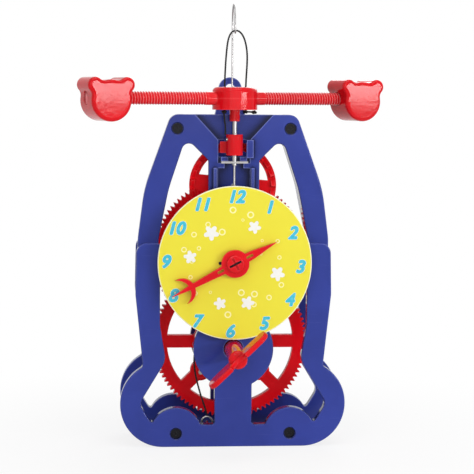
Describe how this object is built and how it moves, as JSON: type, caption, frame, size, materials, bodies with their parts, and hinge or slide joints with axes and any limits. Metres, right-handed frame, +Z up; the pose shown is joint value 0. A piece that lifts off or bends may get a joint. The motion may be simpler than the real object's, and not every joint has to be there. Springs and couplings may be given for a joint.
{
  "type": "clock model",
  "caption": "Weight-driven demonstration clock: plastic frame, gear train, dial with one hour hand, winding key, and a foliot bar with sliding weights hung on a cord.",
  "frame": {"origin": "middle of the front plate's underside, where the clock stands", "axes": "+X right seen from the dial, +Y to the back, +Z up"},
  "size_m": [0.19, 0.0987, 0.2728],
  "materials": {
    "blue_plastic": "moulded blue, semi-gloss",
    "dark_screw": "blackened screw",
    "dial_print": "printed yellow card on plastic",
    "steel": "polished steel",
    "black_cord": "thin braided cord",
    "red_plastic": "moulded red, gloss"
  },
  "bodies": {
    "frame": {"front_plate": "blue_plastic", "upper_plate": "blue_plastic", "rear_plate": "blue_plastic", "lower_left_pillar": "blue_plastic", "lower_right_pillar": "blue_plastic", "upper_left_pillar": "blue_plastic", "upper_right_pillar": "blue_plastic", "lower_screws": "dark_screw", "upper_screws": "dark_screw", "rear_screws": "dark_screw", "leg_screws": "dark_screw", "dial": "dial_print", "dial_pins": "blue_plastic", "verge_guide_plate": "steel", "verge_foot_bearing": "blue_plastic", "wire_socket": "blue_plastic", "crown_cock": "blue_plastic", "suspension_wire": "steel", "drive_cord": "black_cord", "cord_ring": "steel"},
    "foliot": {"foliot_hub_base": "red_plastic", "foliot_hub_cap": "red_plastic", "hub_screws": "steel", "left_arm": "red_plastic", "right_arm": "red_plastic", "verge_rod": "steel", "upper_pallet": "red_plastic", "lower_pallet": "red_plastic", "pallet_screws": "steel", "suspension_cord": "black_cord", "cord_knots": "black_cord"},
    "left_weight": {"left_weight": "red_plastic"},
    "right_weight": {"right_weight": "red_plastic"},
    "great_wheel": {"great_wheel": "red_plastic", "hour_pinion": "red_plastic", "click_pins": "steel", "left_click_spring": "steel", "right_click_spring": "steel"},
    "left_click": {"left_click": "red_plastic"},
    "right_click": {"right_click": "red_plastic"},
    "winding": {"winding_arbor": "steel", "cord_drum": "red_plastic", "drum_winding": "black_cord", "ratchet_wheel": "red_plastic", "winding_key": "red_plastic", "key_pin": "steel"},
    "intermediate": {"intermediate_wheel": "red_plastic", "intermediate_pinion": "red_plastic"},
    "crown": {"crown_wheel": "red_plastic", "crown_pinion": "red_plastic", "crown_arbor": "steel"},
    "hour": {"hour_wheel": "red_plastic", "hour_arbor": "steel", "hour_hand": "red_plastic", "hand_cap": "red_plastic"}
  },
  "joints": [
    {"name": "foliot_swing", "type": "hinge", "parent": "frame", "child": "foliot", "pos_m": [0, 0, 0.2], "axis": [0, 0, 1], "range_deg": [-70, 30], "deforming": ["suspension_cord"]},
    {"name": "left_weight_slide", "type": "slide", "parent": "foliot", "child": "left_weight", "axis": [0.9397, 0.342, 0], "range_m": [0, 0.018]},
    {"name": "right_weight_slide", "type": "slide", "parent": "foliot", "child": "right_weight", "axis": [-0.9397, -0.342, 0], "range_m": [0, 0.018]},
    {"name": "great_wheel_turn", "type": "hinge", "parent": "frame", "child": "great_wheel", "pos_m": [0, 0, 0.0611], "axis": [0, 1, 0], "continuous": true, "deforming": ["drive_cord"]},
    {"name": "winding_turn", "type": "hinge", "parent": "great_wheel", "child": "winding", "pos_m": [0, 0, 0.0611], "axis": [0, 1, 0], "continuous": true},
    {"name": "intermediate_turn", "type": "hinge", "parent": "frame", "child": "intermediate", "pos_m": [0, 0, 0.1151], "axis": [0, 1, 0], "continuous": true},
    {"name": "crown_turn", "type": "hinge", "parent": "frame", "child": "crown", "pos_m": [0, 0, 0.1611], "axis": [0, 1, 0], "continuous": true},
    {"name": "hour_turn", "type": "hinge", "parent": "frame", "child": "hour", "pos_m": [0, 0, 0.1151], "axis": [0, 1, 0], "continuous": true},
    {"name": "left_click_rock", "type": "hinge", "parent": "great_wheel", "child": "left_click", "pos_m": [-0.01874, 0, 0.04236], "axis": [0, -1, 0], "range_deg": [0, 8]},
    {"name": "right_click_rock", "type": "hinge", "parent": "great_wheel", "child": "right_click", "pos_m": [0.01874, 0, 0.04236], "axis": [0, 1, 0], "range_deg": [0, 8]}
  ],
  "couplings": [
    {"joint": "intermediate_turn", "follows": "great_wheel_turn", "ratio": -8},
    {"joint": "crown_turn", "follows": "great_wheel_turn", "ratio": 53.333},
    {"joint": "hour_turn", "follows": "great_wheel_turn", "ratio": -0.125}
  ]
}
